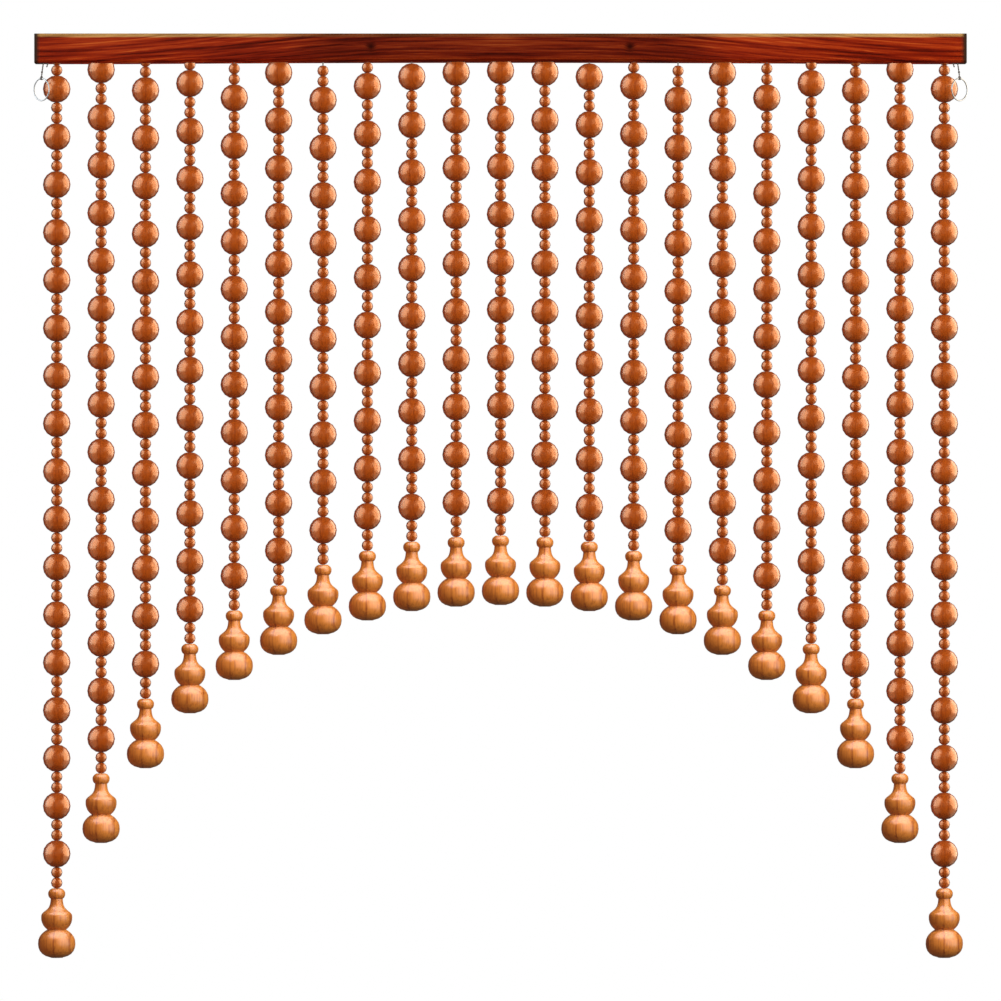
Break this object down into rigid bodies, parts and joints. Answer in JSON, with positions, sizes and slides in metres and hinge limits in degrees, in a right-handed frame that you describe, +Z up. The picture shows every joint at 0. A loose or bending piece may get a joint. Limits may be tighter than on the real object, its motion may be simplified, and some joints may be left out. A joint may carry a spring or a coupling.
{
  "type": "wooden bead curtain with header rail",
  "caption": "Doorway bead curtain: strands of round wooden beads ending in gourd-shaped pendants, hung in an arch from a grooved wooden header rail with hanging rings.",
  "frame": {"origin": "centre of the header rail's top face", "axes": "+X along the rail, to the right seen from the front, +Y to the back, +Z up"},
  "size_m": [0.8522, 0.038, 0.843],
  "materials": {
    "rail_wood": "dark red rosewood, lacquered",
    "bead_wood": "orange-brown turned wood, lacquered",
    "pendant_wood": "light orange turned wood, satin",
    "ring_steel": "thin bright steel wire",
    "cord": "dark twisted cord"
  },
  "bodies": {
    "root": {"rail": "rail_wood", "strand_01": "bead_wood", "strand_02": "bead_wood", "strand_03": "bead_wood", "strand_04": "bead_wood", "strand_05": "bead_wood", "strand_06": "bead_wood", "strand_07": "bead_wood", "strand_08": "bead_wood", "strand_09": "bead_wood", "strand_10": "bead_wood", "strand_11": "bead_wood", "strand_12": "bead_wood", "strand_13": "bead_wood", "strand_14": "bead_wood", "strand_15": "bead_wood", "strand_16": "bead_wood", "strand_17": "bead_wood", "strand_18": "bead_wood", "strand_19": "bead_wood", "strand_20": "bead_wood", "strand_21": "bead_wood", "pendant_01": "pendant_wood", "pendant_02": "pendant_wood", "pendant_03": "pendant_wood", "pendant_04": "pendant_wood", "pendant_05": "pendant_wood", "pendant_06": "pendant_wood", "pendant_07": "pendant_wood", "pendant_08": "pendant_wood", "pendant_09": "pendant_wood", "pendant_10": "pendant_wood", "pendant_11": "pendant_wood", "pendant_12": "pendant_wood", "pendant_13": "pendant_wood", "pendant_14": "pendant_wood", "pendant_15": "pendant_wood", "pendant_16": "pendant_wood", "pendant_17": "pendant_wood", "pendant_18": "pendant_wood", "pendant_19": "pendant_wood", "pendant_20": "pendant_wood", "pendant_21": "pendant_wood", "ring_left": "ring_steel", "ring_cord_left": "cord", "ring_right": "ring_steel", "ring_cord_right": "cord"}
  },
  "joints": []
}
